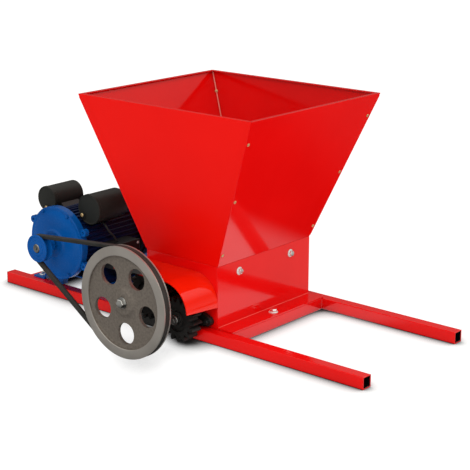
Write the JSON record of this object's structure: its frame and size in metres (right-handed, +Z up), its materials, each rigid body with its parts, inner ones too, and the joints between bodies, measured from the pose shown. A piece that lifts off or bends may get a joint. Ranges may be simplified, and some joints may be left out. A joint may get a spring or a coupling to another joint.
{
  "type": "grape crusher",
  "caption": "Roller grape crusher on a vat frame: open hopper over two geared rollers, driven by a side motor through a V-belt.",
  "frame": {"origin": "centre of the frame, in the plane of the rails' undersides", "axes": "+X along the rails, away from the motor; +Y from the pulley side to the back; +Z up out of the hopper"},
  "size_m": [1, 0.4946, 0.515],
  "materials": {
    "red_powder_coat": "gloss powder coat",
    "blue_paint": "gloss paint",
    "black_paint": "satin paint",
    "black_plastic": "matt moulding",
    "capacitor_shell": "satin moulding",
    "black_rubber": "matt",
    "pulley_iron": "machined grey iron",
    "dark_iron": "blackened",
    "roller_aluminium": "cast, lightly machined",
    "winding_steel": "laminated core with copper windings",
    "zinc_steel": "bright zinc plate",
    "shaft_steel": "ground"
  },
  "bodies": {
    "machine": {"rail_front": "red_powder_coat", "rail_back": "red_powder_coat", "cross_tube_left": "red_powder_coat", "cross_tube_right": "red_powder_coat", "motor_cross_tube": "red_powder_coat", "side_plate_left": "red_powder_coat", "side_plate_right": "red_powder_coat", "front_plate": "red_powder_coat", "back_plate": "red_powder_coat", "gear_guard": "red_powder_coat", "hopper_panel_right": "red_powder_coat", "hopper_panel_left": "red_powder_coat", "hopper_panel_front": "red_powder_coat", "hopper_panel_back": "red_powder_coat", "hopper_bolt_front": "zinc_steel", "hopper_bolt_back": "zinc_steel", "frame_bolt_left": "zinc_steel", "frame_bolt_right": "zinc_steel", "drive_bearing_front": "dark_iron", "drive_bearing_back": "dark_iron", "driven_bearing_front": "dark_iron", "driven_bearing_back": "dark_iron", "v_belt": "black_rubber", "motor_body": "blue_paint", "stator_core": "winding_steel", "end_shield_front": "blue_paint", "end_shield_back": "black_paint", "motor_bearing_front": "shaft_steel", "motor_bearing_back": "shaft_steel", "fan_cover": "black_paint", "run_capacitor": "capacitor_shell", "run_capacitor_saddle": "black_paint", "start_capacitor": "capacitor_shell", "start_capacitor_saddle": "black_paint", "terminal_box": "black_paint", "terminal_box_lid": "black_paint", "cable_gland": "black_plastic", "capacitor_lead": "black_rubber", "motor_base": "blue_paint", "base_leg": "blue_paint", "motor_foot_left": "blue_paint", "motor_foot_right": "blue_paint"},
    "drive_roller_set": {"drive_shaft": "shaft_steel", "drive_roller": "roller_aluminium", "drive_gear": "dark_iron", "large_pulley": "pulley_iron", "pulley_key": "shaft_steel", "pulley_washer": "zinc_steel", "pulley_bolt": "zinc_steel", "drive_bearing_ring_front": "shaft_steel", "drive_bearing_ring_back": "shaft_steel"},
    "driven_roller_set": {"driven_shaft": "shaft_steel", "driven_roller": "roller_aluminium", "driven_gear": "dark_iron", "driven_bearing_ring_front": "shaft_steel", "driven_bearing_ring_back": "shaft_steel"},
    "motor_rotor": {"motor_shaft": "shaft_steel", "rotor_core": "shaft_steel", "motor_pulley": "blue_paint", "fan": "black_plastic"}
  },
  "joints": [
    {"name": "drive_roller_spin", "type": "hinge", "parent": "machine", "child": "drive_roller_set", "pos_m": [-0.022, 0, 0.081], "axis": [0, 1, 0], "continuous": true},
    {"name": "driven_roller_spin", "type": "hinge", "parent": "machine", "child": "driven_roller_set", "pos_m": [0.061, 0, 0.0462], "axis": [0, 1, 0], "continuous": true},
    {"name": "motor_shaft_spin", "type": "hinge", "parent": "machine", "child": "motor_rotor", "pos_m": [-0.275, 0, 0.147], "axis": [0, 1, 0], "continuous": true}
  ],
  "couplings": [
    {"joint": "driven_roller_spin", "follows": "drive_roller_spin", "ratio": -1.1176},
    {"joint": "motor_shaft_spin", "follows": "drive_roller_spin", "ratio": 4.3846}
  ]
}
